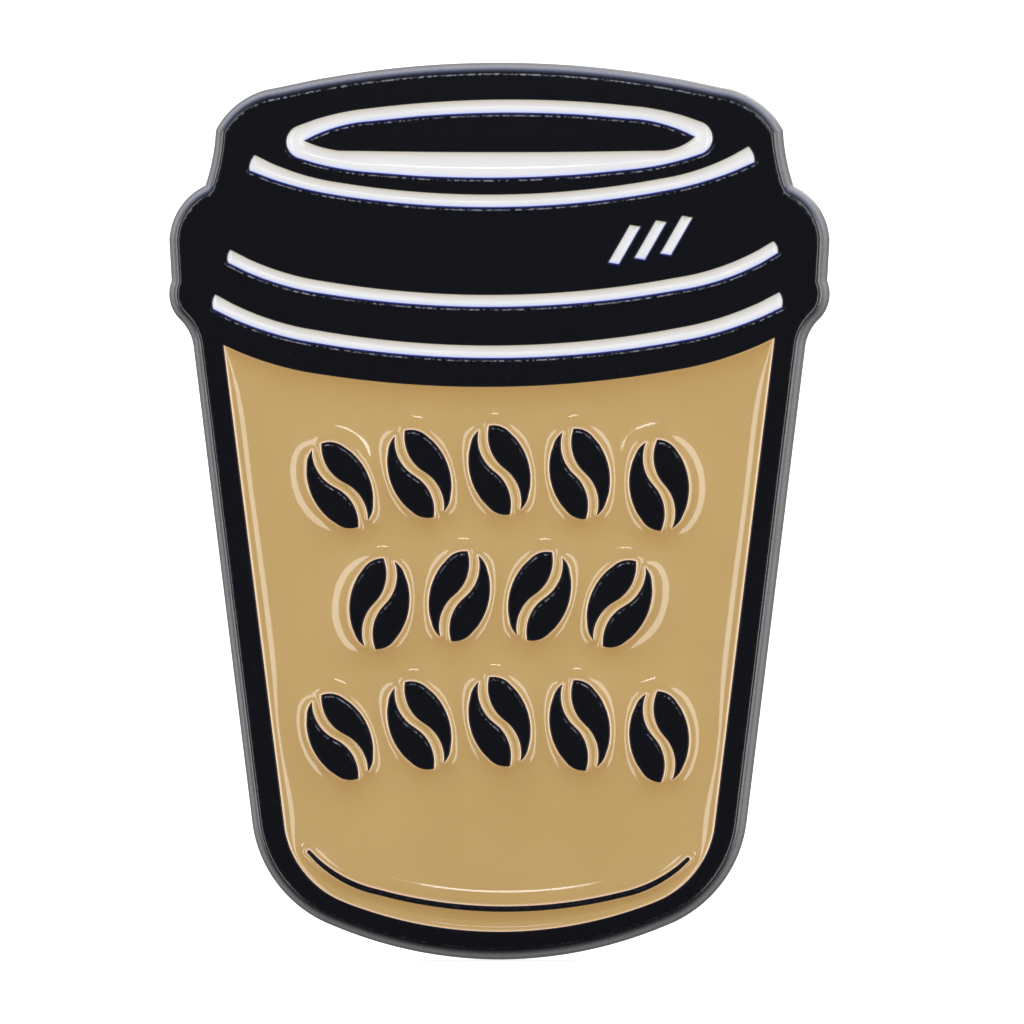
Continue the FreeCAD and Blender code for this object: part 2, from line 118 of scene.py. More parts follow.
def resample(loop, step, sharp=14.0):
    """The loop cut to about step, curved between its points except at corners and long lines."""
    ahead = np.roll(loop, -1, 0) - loop
    length = np.linalg.norm(ahead, axis=1)
    way = ahead / length[:, None]
    before, before_way = np.roll(length, 1), np.roll(way, 1, 0)
    turn = np.degrees(np.arccos(np.clip((way * before_way).sum(1), -1, 1)))
    around = np.minimum(before, np.roll(length, -1))
    straight = length > LONG * around
    straight_before = np.roll(straight, 1)
    tangent = way * before[:, None] + before_way * length[:, None]
    tangent /= np.linalg.norm(tangent, axis=1)[:, None]
    tangent = np.where((straight & ~straight_before)[:, None], way, tangent)
    tangent = np.where((straight_before & ~straight)[:, None], before_way, tangent)
    corner = (turn > sharp) | (straight & straight_before)
    out, is_corner = [], []
    for i in range(len(loop)):
        j = (i + 1) % len(loop)
        leave = way[i] if corner[i] or straight[i] else tangent[i]
        arrive = way[i] if corner[j] or straight[i] else tangent[j]
        cuts = max(1, math.ceil(length[i] / step))
        for k in range(cuts):
            s = k / cuts
            a = 2 * s**3 - 3 * s**2 + 1
            b = s**3 - 2 * s**2 + s
            c = -2 * s**3 + 3 * s**2
            d = s**3 - s**2
            out.append(a * loop[i] + c * loop[j] + length[i] * (b * leave + d * arrive))
            is_corner.append(k == 0 and turn[i] > sharp)
    return np.array(out), np.array(is_corner)


def normals(points):
    """Unit normals into the area on the left of a closed run of points."""
    ahead = np.roll(points, -1, 0) - np.roll(points, 1, 0)
    ahead /= np.linalg.norm(ahead, axis=1)[:, None] + 1e-12
    return np.stack([-ahead[:, 1], ahead[:, 0]], 1)


def tree_of(points):
    """A search tree over flat points."""
    tree = kdtree.KDTree(len(points))
    for i, (x, y) in enumerate(points):
        tree.insert((x, y, 0), i)
    tree.balance()
    return tree


def nearest(tree, points):
    """(distance, index) of the tree point nearest each point."""
    found = [tree.find((x, y, 0)) for x, y in points]
    return np.array([f[2] for f in found]), np.array([f[1] for f in found])


class Area:
    """Triangles over the area inside closed loops, dense near chosen distances from the edge.

    rings gives the distances, for all loops or by loop number, and widths may scale them along
    a loop. step is the spacing of points along the loops, and grid the spacing away from them.
    """

    def __init__(self, loops, rings, step, grid, widths=None):
        step *= COARSE
        runs = [resample(loop, step) for loop in loops]
        # Single precision, as the triangulation gives back, so that walls meet sheets exactly.
        runs = [(run.astype(np.float32).astype(float), corners) for run, corners in runs]
        self.runs = [run for run, _ in runs]
        edge_points = np.concatenate(self.runs)
        fine = np.concatenate([resample(loop, min(step, FINE_STEP))[0] for loop in loops])
        self.edge_tree = tree_of(fine)
        inner = []
        for number, (run, corners) in enumerate(runs):
            into = normals(run)
            wide = np.ones(len(run)) if widths is None else widths(number, run, -into)
            for ring in rings[number] if isinstance(rings, dict) else rings:
                stride = max(1, int(0.45 * ring * wide.min() / step))
                keep = np.arange(0, len(run), stride)
                spots = run[keep] + into[keep] * (ring * wide[keep])[:, None]
                inner.append(self.clear(spots, CLEAR * ring * wide[keep]))
                for i in np.nonzero(corners)[0]:
                    inner.append(self.fan(run, i, ring * wide[i]))
        low, high = edge_points.min(0), edge_points.max(0)
        if grid:
            xs = np.arange(low[0] + grid / 2, high[0], grid)
            zs = np.arange(low[1] + grid / 2, high[1], grid)
            spots = np.array([
                (x + (0.5 * grid if row % 2 else 0), z) for row, z in enumerate(zs) for x in xs
            ])
            reach = max(max(r) for r in rings.values()) if isinstance(rings, dict) else max(rings)
            inner.append(self.clear(spots, np.full(len(spots), reach + 0.3 * grid)))
        margin = 2.0
        frame_points = np.array([
            (low[0] - margin, low[1] - margin), (high[0] + margin, low[1] - margin),
            (high[0] + margin, high[1] + margin), (low[0] - margin, high[1] + margin),
        ])
        points = np.concatenate([edge_points, *inner, frame_points])
        edges, first = [], 0
        for run in self.runs:
            count = len(run)
            edges += [(first + i, first + (i + 1) % count) for i in range(count)]
            first += count
        self.triangulate(points, edges)

    def clear(self, spots, least):
        """Those spots that lie at least so far from every edge."""
        if not len(spots):
            return spots
        far, _ = nearest(self.edge_tree, spots)
        return spots[far >= least - 1e-4]

    def fan(self, run, i, reach):
        """Extra spots round a corner that pokes into the area."""
        before = run[i] - run[i - 1]
        after = run[(i + 1) % len(run)] - run[i]
        start = math.atan2(before[0], -before[1])
        turn = math.atan2(
            before[0] * after[1] - before[1] * after[0], before[0] * after[0] + before[1] * after[1]
        )
        if turn > -0.2:
            return np.zeros((0, 2))
        steps = max(2, int(-turn / 0.35))
        angles = [start + turn * k / steps for k in range(steps + 1)]
        spots = np.array([run[i] + reach * np.array([math.cos(a), math.sin(a)]) for a in angles])
        return self.clear(spots, np.full(len(spots), CLEAR * reach))

    def triangulate(self, points, edges):
        """Fill self.points, self.tris and self.on_edge, keeping only what is inside the loops."""
        given = [Vector((float(x), float(y))) for x, y in points]
        verts, out_edges, faces, _, origins, _ = delaunay_2d_cdt(given, edges, [], 0, 1e-6)
        tris = [tuple(face) for face in faces]
        wall = {tuple(sorted(edge)) for edge, origin in zip(out_edges, origins) if origin}
        beside = {}
        for number, tri in enumerate(tris):
            for a, b in ((0, 1), (1, 2), (2, 0)):
                beside.setdefault(tuple(sorted((tri[a], tri[b]))), []).append(number)
        corner = max(range(len(verts)), key=lambda i: verts[i].x + verts[i].y)
        seed = next(n for n, tri in enumerate(tris) if corner in tri)
        inside = {seed: False}
        stack = [seed]
        while stack:
            number = stack.pop()
            tri = tris[number]
            for a, b in ((0, 1), (1, 2), (2, 0)):
                key = tuple(sorted((tri[a], tri[b])))
                for other in beside[key]:
                    if other not in inside:
                        inside[other] = inside[number] != (key in wall)
                        stack.append(other)
        kept = np.array([tris[n] for n in sorted(inside) if inside[n]])
        used = np.unique(kept)
        place = np.full(len(verts), -1)
        place[used] = np.arange(len(used))
        self.points = np.array([(verts[i].x, verts[i].y) for i in used])
        self.tris = place[kept]
        a, b, c = (self.points[self.tris[:, k]] for k in range(3))
        ab, ac = b - a, c - a
        flip = ab[:, 0] * ac[:, 1] < ab[:, 1] * ac[:, 0]
        self.tris[flip] = self.tris[flip][:, ::-1]
        rim = {i for edge in wall for i in edge}
        self.on_edge = np.array([i in rim for i in used])
        self.far, _ = nearest(self.edge_tree, self.points)

    def meniscus(self, reach):
        """1 at the walls, dying away over reach: u - reach^2 * laplacian(u) = 0 on the mesh."""
        p, t = self.points, self.tris
        count = len(p)
        rows, cols, weights = [], [], []
        mass = np.zeros(count)
        corners = [p[t[:, k]] for k in range(3)]
        ab, ac = corners[1] - corners[0], corners[2] - corners[0]
        double = np.abs(ab[:, 0] * ac[:, 1] - ab[:, 1] * ac[:, 0]) + 1e-9
        for k in range(3):
            np.add.at(mass, t[:, k], double / 6)
            i, j = t[:, (k + 1) % 3], t[:, (k + 2) % 3]
            u, v = p[i] - corners[k], p[j] - corners[k]
            cot = (u * v).sum(1) / double
            rows.append(i)
            cols.append(j)
            weights.append(cot / 2)
        rows, cols, weights = map(np.concatenate, (rows, cols, weights))
        weights = weights * reach**2
        diagonal = mass.copy()
        np.add.at(diagonal, rows, weights)
        np.add.at(diagonal, cols, weights)
        free = ~self.on_edge

        def product(x):
            y = diagonal * x
            y -= np.bincount(rows, weights * x[cols], count)
            y -= np.bincount(cols, weights * x[rows], count)
            return np.where(free, y, 0)

        u = np.where(free, np.exp(-self.far / reach), 1.0)
        residual = -product(u)
        z = residual / diagonal
        search = z.copy()
        rate = float(residual @ z)
        for _ in range(500):
            image = product(search)
            step = rate / (float(search @ image) + 1e-30)
            u += step * search
            residual -= step * image
            z = residual / diagonal
            fresh = float(residual @ z)
            if fresh < 1e-12:
                break
            search = z + fresh / rate * search
            rate = fresh
        return u


# ------------------------------------------------------------------------------------------
# Mesh building
# ------------------------------------------------------------------------------------------


class Build:
    """Points and faces of one piece, in millimetres, gathered part by part."""

    def __init__(self):
        self.points, self.faces, self.slots, self.marks, self.normals = [], [], [], {}, []

    def add(self, points, faces, slot=0, way=None, **marks):
        """Add points and faces, with a slot for all, exact normals if given, and named marks."""
        first = len(self.points)
        self.normals += [(0.0, 0.0, 0.0)] * len(points) if way is None else way.tolist()
        self.points += [tuple(map(float, p)) for p in points]
        self.faces += [tuple(first + int(i) for i in face) for face in faces]
        self.slots += [slot] * len(faces)
        for name, numbers in marks.items():
            kept = self.marks.setdefault(name, [])
            kept += [0.0] * (first - len(kept)) + [float(number) for number in numbers]

    def sheet(self, region, depth, front=True, slot=0, way=None, **marks):
        """A region laid at a depth towards the viewer (front) or as given (back)."""
        x, z = region.points[:, 0], region.points[:, 1]
        y = -depth if front else depth
        tris = region.tris if front else region.tris[:, ::-1]
        self.add(np.stack([x, np.broadcast_to(y, x.shape), z], 1), tris, slot, way, **marks)

    def wall(self, run, top, foot):
        """A strip round a closed run of (x, z) points from depth top to depth foot."""
        count = len(run)
        points = [(x, -depth, z) for depth in (top, foot) for x, z in run]
        self.add(points, strip(count))

    def turn(self, profile, centre, steps=96, closed=True, shift=None):
        """A (radius, y) profile turned round the Y axis through centre (x, y, z).

        shift(angle, radius, y) may return a changed (radius, y).
        """
        points, faces = [], []
        count = len(profile)
        for k in range(steps):
            angle = 2 * math.pi * k / steps
            for radius, y in profile:
                if shift:
                    radius, y = shift(angle, radius, y)
                points.append((
                    centre[0] + radius * math.cos(angle),
                    centre[1] + y,
                    centre[2] + radius * math.sin(angle),
                ))
        for k in range(steps):
            faces += band(k * count, ((k + 1) % steps) * count, count, closed)
        self.add(points, faces)

    def loft(self, sections):
        """A tube through closed sections of equal point counts, capped at both ends."""
        count = len(sections[0])
        points = [point for section in sections for point in section]
        faces = []
        for k in range(len(sections) - 1):
            faces += band(k * count, (k + 1) * count, count)
        last = (len(sections) - 1) * count
        half = count // 2
        for i in range(half - 1):
            j = count - 1 - i
            faces.append((i, j, j - 1, i + 1))
            faces.append((last + i, last + i + 1, last + j - 1, last + j))
        self.add(points, faces)

    def make(self, name, materials, body, replaced, sharp=40):
        """Make the mesh object, riding its body and standing for its CAD nodes."""
        mesh = bpy.data.meshes.new(name)
        mesh.from_pydata([tuple(c * MM for c in p) for p in self.points], [], self.faces)
        mesh.polygons.foreach_set("material_index", self.slots)
        for mark, numbers in self.marks.items():
            numbers += [0.0] * (len(self.points) - len(numbers))
            mesh.attributes.new(mark, "FLOAT", "POINT").data.foreach_set("value", numbers)
        mesh.validate()
        if not self.marks:
            weld(mesh)
        obj = bpy.data.objects.new(name, mesh)
        bpy.context.scene.collection.objects.link(obj)
        for material in materials:
            mesh.materials.append(material)
        mesh.shade_smooth()
        mesh.set_sharp_from_angle(angle=math.radians(sharp))
        if any(way[1] for way in self.normals):
            mesh.normals_split_custom_set_from_vertices(self.normals)
        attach(obj, body)
        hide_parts(*replaced)


def band(here, there, count, closed=True):
    """Faces between two rows of count points, which start at points here and there."""
    faces = []
    for i in range(count if closed else count - 1):
        j = (i + 1) % count
        faces.append((here + i, here + j, there + j, there + i))
    return faces


def strip(count):
    """Faces between two closed rows of count points, the second row following the first."""
    return [(i, count + i, count + (i + 1) % count, (i + 1) % count) for i in range(count)]


def weld(mesh):
    """Join points within a micrometre, which drops the faces they flatten."""
    joined = bmesh.new()
    joined.from_mesh(mesh)
    bmesh.ops.remove_doubles(joined, verts=joined.verts, dist=1e-6)
    joined.to_mesh(mesh)
    joined.free()


def rounded(corners, radius, steps=4):
    """A closed polygon with every corner rounded; a corner may carry its own radius third."""
    out = []
    count = len(corners)
    for i, corner in enumerate(corners):
        here = np.array(corner[:2], float)
        back = np.array(corners[i - 1][:2], float) - here
        ahead = np.array(corners[(i + 1) % count][:2], float) - here
        own = corner[2] if len(corner) > 2 else radius
        back_long, ahead_long = np.linalg.norm(back), np.linalg.norm(ahead)
        back, ahead = back / back_long, ahead / ahead_long
        angle = math.acos(max(-1, min(1, float(back @ ahead))))
        if angle > 3.0 or own <= 0:
            out.append(tuple(here))
            continue
        cut = min(own / math.tan(angle / 2), 0.48 * back_long, 0.48 * ahead_long)
        a, b = here + back * cut, here + ahead * cut
        for k in range(steps + 1):
            s = k / steps
            out.append(tuple((1 - s) ** 2 * a + 2 * s * (1 - s) * here + s**2 * b))
    return out


# ------------------------------------------------------------------------------------------
# Materials
# ------------------------------------------------------------------------------------------


class Finish:
    """A procedural material, built up node by node."""

    def __init__(self, name):
        self.material = bpy.data.materials.new(name)
        self.material.use_nodes = True
        self.tree = self.material.node_tree
        self.shader = self.tree.nodes["Principled BSDF"]
        self.place = self.node("ShaderNodeTexCoord").outputs["Object"]

    def node(self, kind, **inputs):
        made = self.tree.nodes.new(kind)
        for name, value in inputs.items():
            self.put(made.inputs[name.replace("_", " ")], value)
        return made

    def put(self, socket, value):
        if isinstance(value, bpy.types.NodeSocket):
            self.tree.links.new(value, socket)
        else:
            socket.default_value = value

    def set(self, **inputs):
        """Set shader inputs by name."""
        for name, value in inputs.items():
            self.put(self.shader.inputs[name.replace("_", " ")], value)
        return self

    def noise(self, scale, detail=2.0, roughness=0.5, stretch=None):
        """Noise from 0 to 1; scale is in features per millimetre."""
        place = self.place
        if stretch:
            place = self.node("ShaderNodeMapping", Vector=place, Scale=stretch).outputs[0]
        made = self.node(
            "ShaderNodeTexNoise", Vector=place, Scale=scale / MM, Detail=detail, Roughness=roughness
        )
        return made.outputs[0]

    def math(self, kind, *values):
        made = self.tree.nodes.new("ShaderNodeMath")
        made.operation = kind
        for socket, value in zip(made.inputs, values):
            self.put(socket, value)
        return made.outputs[0]

    def ramp(self, factor, low, high, out_low=0.0, out_high=1.0):
        """Factor from low..high mapped to out_low..out_high, clamped."""
        made = self.node("ShaderNodeMapRange", Value=factor)
        for socket, value in zip(
            ("From Min", "From Max", "To Min", "To Max"), (low, high, out_low, out_high)
        ):
            made.inputs[socket].default_value = value
        return made.outputs[0]

    def mix(self, factor, a, b):
        made = self.tree.nodes.new("ShaderNodeMix")
        made.data_type = "RGBA"
        self.put(made.inputs[0], factor)
        self.put(made.inputs[6], a if isinstance(a, bpy.types.NodeSocket) else (*a, 1.0))
        self.put(made.inputs[7], b if isinstance(b, bpy.types.NodeSocket) else (*b, 1.0))
        return made.outputs[2]

    def attribute(self, name):
        made = self.tree.nodes.new("ShaderNodeAttribute")
        made.attribute_name = name
        return made.outputs["Fac"]

    def near(self, name, centre, width):
        """1 where an attribute equals centre, dying away over width."""
        gap = self.math("DIVIDE", self.math("SUBTRACT", self.attribute(name), centre), width)
        return self.math("EXPONENT", self.math("MULTIPLY", self.math("MULTIPLY", gap, gap), -1.0))

    def bump(self, *layers):
        """Bump from (height, distance in mm) layers."""
        normal = None
        for height, distance in layers:
            made = self.node("ShaderNodeBump", Height=height, Distance=distance * MM)
            if normal:
                self.put(made.inputs["Normal"], normal)
            normal = made.outputs[0]
        self.put(self.shader.inputs["Normal"], normal)
        return self


def black_face():
    """Black-dyed plating: level parts smooth, struck edge brighter, worn in specks along edges; the
    specked line is strongest where edges face up, so it is partly painted highlight, and lips below
    a white pool carry a painted blue reflection.
    """
    f = Finish("black_metal")
    speck = f.ramp(f.noise(8.0, 1.0), 0.72, 0.75)
    grain = f.noise(14.0, 3.0, 0.7)
    along = f.ramp(f.noise(5.5, 4.0, 0.7), 0.46, 0.60)
    # A bright specked line along the struck edge and below pool lips: wear, and painted highlight
    # where the edges face up.
    rim = f.math("MULTIPLY", f.near("inset", 0.0, 0.026), f.attribute("wear"))
    lip = f.math("MULTIPLY", f.near("lip", 0.115, 0.022), f.attribute("below"))
    worn_and_highlight = f.math("MULTIPLY", f.math("ADD", rim, lip), along)
    # A painted blue reflection on the lips just below a white pool.
    close = f.ramp(f.attribute("lip"), 0.03, 0.08, 1.0, 0.0)
    painted_glint = f.math("MULTIPLY", close, f.attribute("blue"))
    base = f.mix(f.math("MULTIPLY", speck, 0.05), (0.0050, 0.0052, 0.0064), (0.14, 0.15, 0.18))
    base = f.mix(painted_glint, base, (0.012, 0.016, 0.11))
    base = f.mix(f.math("MULTIPLY", worn_and_highlight, 0.55), base, (0.42, 0.43, 0.47))
    edge = f.ramp(f.attribute("inset"), -0.26, -0.02, 1.0, 0.0)
    matt = f.math("MULTIPLY", edge, f.ramp(f.noise(11.0, 3.0, 0.7), 0.3, 0.7, 0.70, 1.10))
    f.set(Base_Color=base, IOR=f.ramp(matt, 0.0, 1.0, 1.50, 2.70))
    dull = f.math("MULTIPLY", edge, 0.34)
    f.set(Roughness=f.math("ADD", f.ramp(grain, 0.3, 0.7, 0.065, 0.085), dull))
    return f.bump((grain, 0.0004), (f.noise(1.1, 2.0), 0.0012)).material


def black_back():
    """The same plating over the sand-textured back."""
    f = Finish("black_metal_sanded")
    sand = f.noise(7.0, 4.0, 0.75)
    f.set(Base_Color=f.mix(f.ramp(sand, 0.35, 0.75), (0.005, 0.005, 0.007), (0.018, 0.018, 0.022)))
    f.set(Roughness=0.40, IOR=1.42)
    return f.bump((sand, 0.05)).material


def enamel(name, low, high, shaded, lit, rough):
    """Baked enamel: painted shade under an upper wall, painted light in the fillet at a side or
    lower wall, and glossy.
    """
    f = Finish(name)
    base = f.mix(f.ramp(f.noise(0.35, 3.0), 0.3, 0.7), low, high)
    # Painted shade: the shaded colour where the pool lies under a wall.
    base = f.mix(f.attribute("shaded"), base, shaded)
    # Painted light in the fillet by the wall: a paler highlight on the tan, a blue reflection on
    # the white.
    fillet = f.math("MULTIPLY", f.near("wall", 0.0, 0.05), f.attribute("aside"))
    base = f.mix(fillet, base, lit)
    f.set(Base_Color=base)
    f.set(Roughness=rough, IOR=1.5, Coat_Weight=1.0, Coat_Roughness=0.04, Coat_IOR=1.5)
    return f.bump((f.noise(0.55, 1.5), 0.006), (f.noise(6.0, 2.0), 0.0003)).material


def plated(name, light, dark, rough, scratch=0.0025):
    """Pressed and plated sheet metal with fine scratches and faint tarnish."""
    f = Finish(name)
    cloud = f.ramp(f.noise(0.9, 4.0, 0.6), 0.35, 0.75)
    lines = f.noise(3.0, 3.0, 0.6, stretch=(1.0, 9.0, 1.0))
    f.set(Base_Color=f.mix(cloud, light, dark), Metallic=1.0)
    f.set(Roughness=f.ramp(cloud, 0.0, 1.0, rough, rough + 0.12))
    return f.bump((lines, scratch), (f.noise(0.8, 2.0), 0.01)).material


def pale(name, colour, glow):
    """Studio paper that glows a little, so that it stays white."""
    f = Finish(name)
    f.set(Base_Color=(*colour, 1.0), Roughness=1.0, Specular_IOR_Level=0.0)
    f.set(Emission_Color=(1.0, 1.0, 1.0, 1.0), Emission_Strength=glow)
    return f.material


BLACK = black_face()
SANDED = black_back()
# shaded and lit are painted shade and painted light colours for each enamel near its walls.
TAN = enamel(
    "tan_enamel", low=(0.412, 0.265, 0.078), high=(0.440, 0.284, 0.088),
    shaded=(0.355, 0.198, 0.044), lit=(0.74, 0.50, 0.28), rough=0.30,
)
WHITE = enamel(
    "white_enamel", low=(0.660, 0.645, 0.590), high=(0.690, 0.675, 0.620),
    shaded=(0.45, 0.41, 0.29), lit=(0.46, 0.53, 0.80), rough=0.25,
)
BRASS = plated("plated_brass", light=(0.66, 0.48, 0.205), dark=(0.48, 0.325, 0.12), rough=0.24)
NICKEL = plated("plated_steel", light=(0.42, 0.41, 0.395), dark=(0.30, 0.295, 0.285), rough=0.24)
TIN = plated(
    "solder", light=(0.33, 0.33, 0.34), dark=(0.20, 0.20, 0.215), rough=0.38, scratch=0.006,
)


# ------------------------------------------------------------------------------------------
# The struck plate
# ------------------------------------------------------------------------------------------


ENAMEL_NODES = [name for name in NODES if name.endswith("_enamel")]
WHITE_NODES = [name for name in ENAMEL_NODES if name != "cup_enamel"]


def pool_loops(name):
    """Loops of a pool, outer one first, read off its enamel."""
    return flat_loops(name, -(LAND - FILL_LOW))


def bevel_width(outward):
    """Width of the struck edge by the way it faces: wider above and on the right."""
    return BEVEL + 0.045 * outward[:, 0] + 0.016 * outward[:, 1]


silhouette = flat_loops("badge_plate", 0.0)[0]
land_loops = flat_loops("badge_plate", -LAND)
recess_loops = land_loops[1:]


def walls_near(loops, points):
    """Distance from each point to the loops, and the unit way to the nearest spot on them."""
    runs = [resample(loop, FINE_STEP)[0] for loop in loops]
    here = np.concatenate(runs)
    before = np.concatenate([np.roll(run, 1, 0) for run in runs])
    after = np.concatenate([np.roll(run, -1, 0) for run in runs])
    far, near = nearest(tree_of(here), points)
    for start, end in ((before[near], here[near]), (here[near], after[near])):
        along = end - start
        share = np.clip(((points - start) * along).sum(1) / (along**2).sum(1), 0, 1)
        far = np.minimum(far, np.linalg.norm(points - start - share[:, None] * along, axis=1))
    far[far < SNAP] = 0.0
    return far, -np.concatenate([normals(run) for run in runs])[near]


def plate():
    """Land, struck edge, pool walls and floors, side wall and back of the badge."""
    piece = Build()
    angles = [math.radians(a) for a in (14, 28, 42, 55, 67, 78, 90)]
    outer_rings = [*(1 - math.cos(a) for a in angles), 1.06, 1.2]
    lip_rings = [0.016, LIP, 0.08, 0.12, 0.18]
    loops = [silhouette, *recess_loops]
    rings = {number: (lip_rings if number else outer_rings) for number in range(len(loops))}

    def widths(number, run, outward):
        return np.ones(len(run)) if number else bevel_width(outward)

    land = Area(loops, rings, OUTLINE_STEP, 1.3, widths)
    rim_far, outward = walls_near([silhouette], land.points)
    wide = bevel_width(outward)
    round_edge = np.clip(1 - rim_far / wide, 0, 1)
    depth = LAND - wide + wide * np.sqrt(1 - round_edge**2)
    lip_far, toward = walls_near(recess_loops, land.points)
    round_lip = np.clip(1 - lip_far / LIP, 0, 1)
    depth -= LIP * (1 - np.sqrt(1 - round_lip**2))
    white_loops = [loop for name in WHITE_NODES for loop in pool_loops(name)]
    blue_far, _ = walls_near(white_loops, land.points)
    # Land below a pool's edge has a worn line, partly painted highlight, but not along the cup's
    # outline or the dashes, and below a white pool it has a painted blue reflection too.
    plain = [pool_loops("cup_enamel")[0]]
    plain += [loop for name in WHITE_NODES if "dash" in name for loop in pool_loops(name)]
    plain_far, _ = walls_near(plain, land.points)
    under = np.clip(1.4 * toward[:, 1] - 0.4, 0, 1)
    below = np.where(plain_far > lip_far + 0.001, under, 0)
    blue = np.where(blue_far > lip_far + 0.001, 0, under)
    # The worn line along the struck edge, strongest where the edge faces up: wear with a painted
    # highlight.
    wear = 0.06 + 0.94 * np.clip(outward[:, 1], 0, 1) ** 2
    slope = np.clip(outward * round_edge[:, None] + toward * round_lip[:, None], -0.99, 0.99)
    facing = np.sqrt(np.clip(1 - (slope**2).sum(1), 0.01, 1))
    way = np.stack([slope[:, 0], -facing, slope[:, 1]], 1)
    piece.sheet(land, depth, way=way, inset=rim_far - wide, wear=wear, lip=lip_far, below=below,
                blue=blue)
    for run in land.runs[1:]:
        piece.wall(run, LAND - LIP, FLOOR)
    piece.sheet(Area(recess_loops, [], OUTLINE_STEP, 0), FLOOR)
    back_rings = [0.03, BACK_ROUND, BACK_RIM, 0.79, 0.82, 0.85, 0.88, 0.92]
    back = Area([silhouette], back_rings, OUTLINE_STEP, 1.2)
    back_far, _ = walls_near([silhouette], back.points)
    edge = np.clip(1 - back_far / BACK_ROUND, 0, 1)
    step = np.clip((back_far - BACK_RIM) / BACK_SLOPE, 0, 1)
    step = step * step * (3 - 2 * step)
    hollow = -BACK_ROUND * (1 - np.sqrt(1 - edge**2)) - BACK_FIELD * step
    piece.sheet(back, hollow, front=False, slot=1)
    side = land.runs[0]
    front_row = [(x, -d, z) for (x, z), d in zip(side, depth)]
    back_row = [(x, -BACK_ROUND, z) for x, z in side]
    piece.add(front_row + back_row, strip(len(side)))
    piece.make("badge", [BLACK, SANDED], "badge", ["badge_plate"], 60)


def pool(name, material, reach, rise, spread, hang, rings, grid):
    """Enamel in one pool, drawn up by rise at its walls over reach, with painted shade over spread.

    Painted shade is full under an upper wall, and the share hang of it by a side wall.
    """
    loops = pool_loops(name)
    region = Area(loops, rings, OUTLINE_STEP, grid)
    climb = region.meniscus(reach)
    cling = region.meniscus(CLIMB_REACH)
    depth = ENAMEL + rise * climb + CLIMB * cling
    far, toward = walls_near(loops, region.points)
    # Painted shade, darkest under an upper wall and dying away from the walls.
    shaded = np.clip(hang + (1 - hang) * toward[:, 1], 0, 1) * np.exp(-far / spread)
    piece = Build()
    # Painted light in the fillet goes along lower walls, and along side walls by the share hang.
    aside = np.clip(np.clip(-toward[:, 1], 0, 1) ** 2 + 2 * hang * toward[:, 0] ** 2, 0, 1)
    piece.sheet(region, depth, shaded=shaded, wall=far, aside=aside)
    rim = float(depth[region.on_edge].max())
    for run in region.runs:
        piece.wall(run, FLOOR + UNDER, rim)
    piece.sheet(Area(loops, [], OUTLINE_STEP, 0), -(FLOOR + UNDER), front=False)
    piece.make(name.replace("_enamel", "_fill"), [material], "badge", [name], 75)


WIDE_RINGS = [0.02, 0.05, 0.09, 0.14, 0.20, 0.27, 0.36, 0.47, 0.60, 0.76, 0.95, 1.2]
NARROW_RINGS = [0.02, 0.05, 0.09, 0.14, 0.20, 0.27]


# ------------------------------------------------------------------------------------------
# Posts and clutches
# ------------------------------------------------------------------------------------------

POST_HIGH = 7.0       # each post above or below the middle
SHANK = 0.55          # radius of the post
FLANGE = 1.49         # where the solder meets the post's flange
GAP = 2.0             # clutch to back rim
TOP = 2.70            # cover top above the dish's underside
SHEET = 0.25          # thickness of the cover
CROWN = 3.60          # radius of the crown's top, outside
CROWN_INSIDE = 3.42   # the same inside
CROWN_LIP = 0.05      # rounding of the crown's edges
TURNS = 144           # points round a clutch
STRIP_HALF = 0.15     # half the thickness of a wing
STRIP_END = 0.11      # the same at its ends
JAW_HALF = 1.20       # half the width of a jaw
JAW_END = 0.22        # a jaw's tip from the post's middle
JAW_LONG = 1.50       # where the jaw's bite ends
BITE = SHANK + 0.03   # radius of the bite
RIDGES = 5            # grip ridges on a finger end


def hump(x, centre, width):
    """A smooth bump of height 1."""
    return math.exp(-(((x - centre) / width) ** 2))


def post(end, z):
    """Pointed post with turned marks, soldered on by its flange."""
    piece = Build()
    outline = rounded([
        (0.0, -0.12, 0), (1.50, -0.12, 0.02), (1.50, 0.18, 0.05), (0.75, 0.18, 0.06),
        (0.75, 1.28, 0.04), (0.55, 1.48, 0.08), (0.55, 6.25, 0.04), (0.40, 6.33, 0.04),
        (0.40, 6.67, 0.04), (0.55, 6.75, 0.04), (0.55, 6.95, 0.3), (0.44, 7.35, 0.3),
        (0.28, 7.72, 0.2), (0.05, 8.0, 0.03), (0.0, 8.0, 0),
    ], 0.05)
    piece.turn(outline, (0, 0, z), 64)
    piece.make(f"{end}_pin", [NICKEL], "badge", [f"{end}_post"])
    ring = Build()
    lumpy = [(FLANGE, -0.11), (2.12, -0.115), (2.02, -0.07), (1.85, -0.01), (1.68, 0.05),
             (1.55, 0.11), (FLANGE, 0.125)]

    def run_out(angle, radius, y):
        wave = 0.5 + 0.5 * math.sin(3 * angle + z) * math.sin(2 * angle + 1.0)
        out = radius - FLANGE
        return FLANGE + out * (0.72 + 0.40 * wave), y + 0.02 * out * math.sin(7 * angle + z)

    ring.turn(lumpy, (0, 0, z), 96, shift=run_out)
    ring.make(f"{end}_fillet", [TIN], "badge", [f"{end}_post_solder"])


